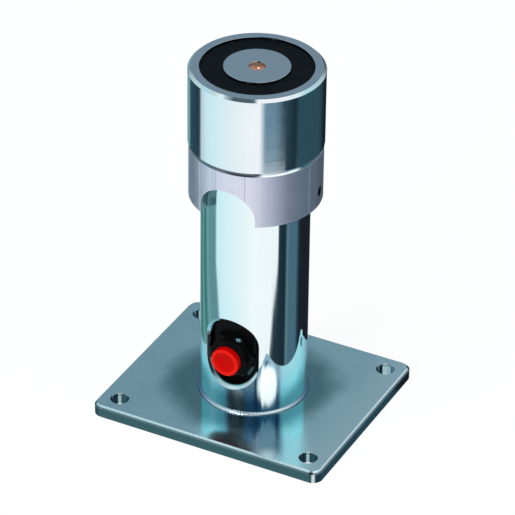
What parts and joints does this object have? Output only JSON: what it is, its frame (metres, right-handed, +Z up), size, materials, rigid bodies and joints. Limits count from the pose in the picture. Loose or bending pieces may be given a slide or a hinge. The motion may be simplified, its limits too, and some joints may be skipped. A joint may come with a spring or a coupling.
{
  "type": "electromagnetic door holder",
  "caption": "Floor-standing electromagnet that holds a door open: pot magnet on a tube column with a foot plate and a red release push-button.",
  "frame": {"origin": "centre of the base plate's underside, on the column's axis", "axes": "+Z up along the column to the pole face; the push-button and the collar's arch look along -Y; the base plate's long side lies along X"},
  "size_m": [0.12, 0.102, 0.181],
  "materials": {
    "plate_steel": "zinc plated, fine ground texture",
    "weld_steel": "bright dressed weld",
    "tube_steel": "bright drawn and plated",
    "collar_aluminium": "satin anodised, turned",
    "pot_zinc": "bright zinc plated, turned",
    "pin_bronze": "turned bronze",
    "copper_wire": "enamelled copper winding",
    "black_resin": "cast resin, slight sheen",
    "black_moulding": "satin moulding",
    "red_plastic": "glossy red moulding",
    "natural_plastic": "natural nylon",
    "grommet_rubber": "matt rubber",
    "dark_screw_steel": "black oxide",
    "bright_screw_steel": "zinc plated",
    "spring_steel": "drawn spring wire",
    "contact_brass": "nickel-free brass",
    "lead_covering": "PVC covering",
    "diode_case": "moulded case"
  },
  "bodies": {
    "root": {"base_plate": "plate_steel", "weld_bead": "weld_steel", "column_tube": "tube_steel", "head_collar": "collar_aluminium", "collar_screws": "dark_screw_steel", "magnet_pot": "pot_zinc", "coil_bobbin": "natural_plastic", "coil_winding": "copper_wire", "potting_ring": "black_resin", "pot_bolt": "dark_screw_steel", "bolt_washer": "bright_screw_steel", "pin_spring": "spring_steel", "inner_chassis": "black_moulding", "chassis_screws": "bright_screw_steel", "cable_grommet": "grommet_rubber", "switch_housing": "black_moulding", "switch_nut": "black_moulding", "switch_base": "black_moulding", "switch_contacts": "contact_brass", "button_spring": "spring_steel", "terminal_block": "natural_plastic", "terminal_clamps": "contact_brass", "terminal_screws": "bright_screw_steel", "coil_leads": "lead_covering", "switch_leads": "lead_covering", "suppressor_diode": "diode_case"},
    "button": {"button_cap": "red_plastic", "button_plunger": "natural_plastic", "contact_bridge": "contact_brass"},
    "pin": {"residual_pin": "pin_bronze"}
  },
  "joints": [
    {"name": "button_press", "type": "slide", "parent": "root", "child": "button", "axis": [0, 1, 0], "range_m": [0, 0.0025], "stiffness_N_per_m": 600, "springref_m": -0.0025, "deforming": ["button_spring"]},
    {"name": "pin_press", "type": "slide", "parent": "root", "child": "pin", "axis": [0, 0, -1], "range_m": [0, 0.0012], "stiffness_N_per_m": 2000, "springref_m": -0.001, "deforming": ["pin_spring"]}
  ]
}
